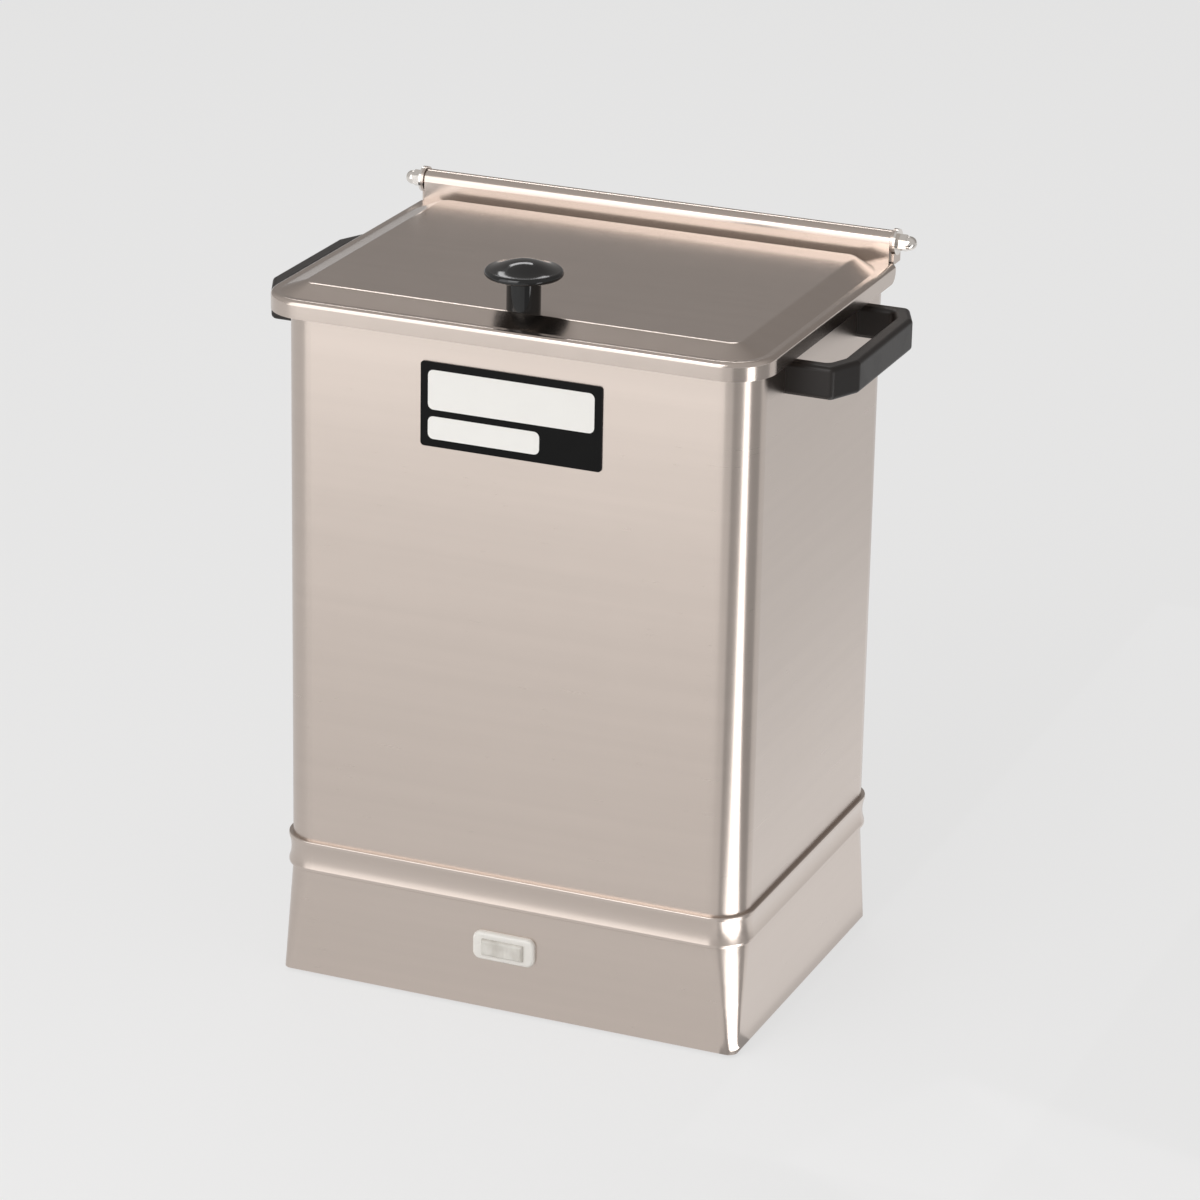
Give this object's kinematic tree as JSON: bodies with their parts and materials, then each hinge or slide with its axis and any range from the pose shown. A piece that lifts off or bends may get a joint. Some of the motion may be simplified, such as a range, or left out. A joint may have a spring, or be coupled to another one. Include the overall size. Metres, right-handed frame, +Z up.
{
  "type": "hot pack heater",
  "caption": "Countertop stainless steam pack heater: deep tank with hinged lid, mushroom knob, side handles, pack rack and a heated base with pilot lamp",
  "frame": {"origin": "on the table, below the middle of the heater's bounding box", "axes": "+Z up, front with label and pilot lamp towards -Y, hinge at the back towards +Y, handles at -X and +X"},
  "size_m": [0.3292, 0.2254, 0.4129],
  "materials": {
    "stainless": "satin brushed stainless steel",
    "plated_steel": "dull zinc plate",
    "bright_steel": "polished",
    "black_plastic": "smooth gloss",
    "black_nylon": "matt moulded",
    "white_plastic": "smooth",
    "lens": "frosted translucent",
    "label": "smooth foil",
    "brass": "machined",
    "rubber": "matt",
    "element_sheath": "oxidised",
    "copper": "drawn tube",
    "wire_insulation": "smooth sleeve"
  },
  "bodies": {
    "heater": {"tank": "stainless", "base_skirt": "stainless", "hinge_rail": "stainless", "pack_rack": "stainless", "sensor_clip": "stainless", "bottom_cover": "plated_steel", "cover_screws": "plated_steel", "cover_nuts": "plated_steel", "thermostat_bracket": "plated_steel", "thermostat_nut": "plated_steel", "bracket_rivets": "plated_steel", "cutout_strap": "plated_steel", "lamp_clip": "plated_steel", "earth_stud": "plated_steel", "earth_nut": "plated_steel", "hinge_rod": "bright_steel", "hinge_washers": "bright_steel", "acorn_nuts": "bright_steel", "handle_screws": "bright_steel", "handle_washers": "bright_steel", "left_handle": "black_plastic", "right_handle": "black_plastic", "thermostat": "black_nylon", "cord_gland": "black_nylon", "gland_locknut": "black_nylon", "limit_cutout": "black_nylon", "lamp_bezel": "white_plastic", "terminal_block": "white_plastic", "lamp_lens": "lens", "neon_bulb": "lens", "label_plate": "label", "handle_inserts": "brass", "lamp_tabs": "brass", "thermostat_tabs": "brass", "terminal_screws": "brass", "element_glands": "brass", "element_nuts": "brass", "sensor_gland": "brass", "sensor_nut": "brass", "rubber_feet": "rubber", "element_gaskets": "rubber", "heating_element": "element_sheath", "sensor_bulb": "copper", "internal_leads": "wire_insulation"},
    "lid": {"lid": "stainless", "lid_knob": "black_plastic", "knob_insert": "brass", "knob_washer": "plated_steel", "knob_screw": "bright_steel"},
    "adjuster": {"adjusting_stem": "plated_steel"}
  },
  "joints": [
    {"name": "lid_hinge", "type": "hinge", "parent": "heater", "child": "lid", "pos_m": [0, 0.0905, 0.3935], "axis": [-1, 0, 0], "range_deg": [0, 105]},
    {"name": "adjuster_turn", "type": "hinge", "parent": "heater", "child": "adjuster", "pos_m": [-0.05, 0.018, 0.012], "axis": [0, 0, 1], "range_deg": [0, 270]}
  ]
}
